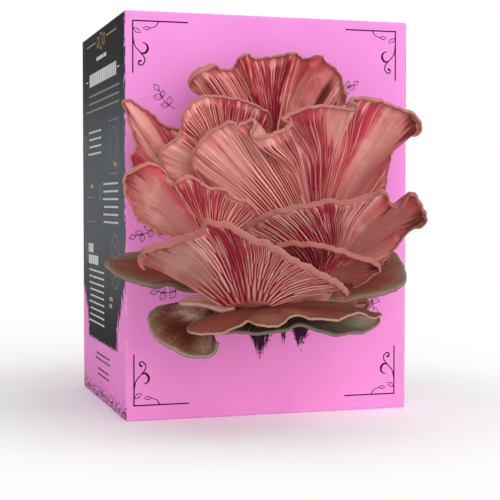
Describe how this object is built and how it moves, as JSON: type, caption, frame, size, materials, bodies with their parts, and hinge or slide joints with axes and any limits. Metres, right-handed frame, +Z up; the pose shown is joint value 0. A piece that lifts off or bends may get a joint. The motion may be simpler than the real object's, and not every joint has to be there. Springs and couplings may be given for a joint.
{
  "type": "oyster mushroom grow kit",
  "caption": "Closed printed carton of growing substrate, with a cluster of ruffled, gilled oyster mushroom caps grown out through a window in its front panel.",
  "frame": {"origin": "centre of the carton's bottom face", "axes": "+Z up, -Y out of the front panel towards the cluster's viewer, +X to that viewer's right"},
  "size_m": [0.1814, 0.2337, 0.22],
  "materials": {
    "printed_board": "printed, satin",
    "substrate": "pressed fibres, matt",
    "stem_flesh": "moist, satin",
    "gill_flesh": "ribbed, satin",
    "brown_skin": "velvety",
    "grey_gills": "ribbed, satin"
  },
  "bodies": {
    "root": {"carton": "printed_board", "substrate_block": "substrate", "cluster_base": "stem_flesh", "cap_top": "gill_flesh", "cap_upper_left": "gill_flesh", "cap_left_tip": "gill_flesh", "cap_right": "gill_flesh", "cap_left": "gill_flesh", "cap_right_mid": "gill_flesh", "cap_right_low": "gill_flesh", "cap_front": "gill_flesh", "cap_fold": "gill_flesh", "cap_small_right": "gill_flesh", "cap_low_left": "brown_skin", "cap_bottom_left": "brown_skin", "cap_bottom": "brown_skin", "cap_low_right": "brown_skin", "cap_under": "grey_gills"}
  },
  "joints": []
}
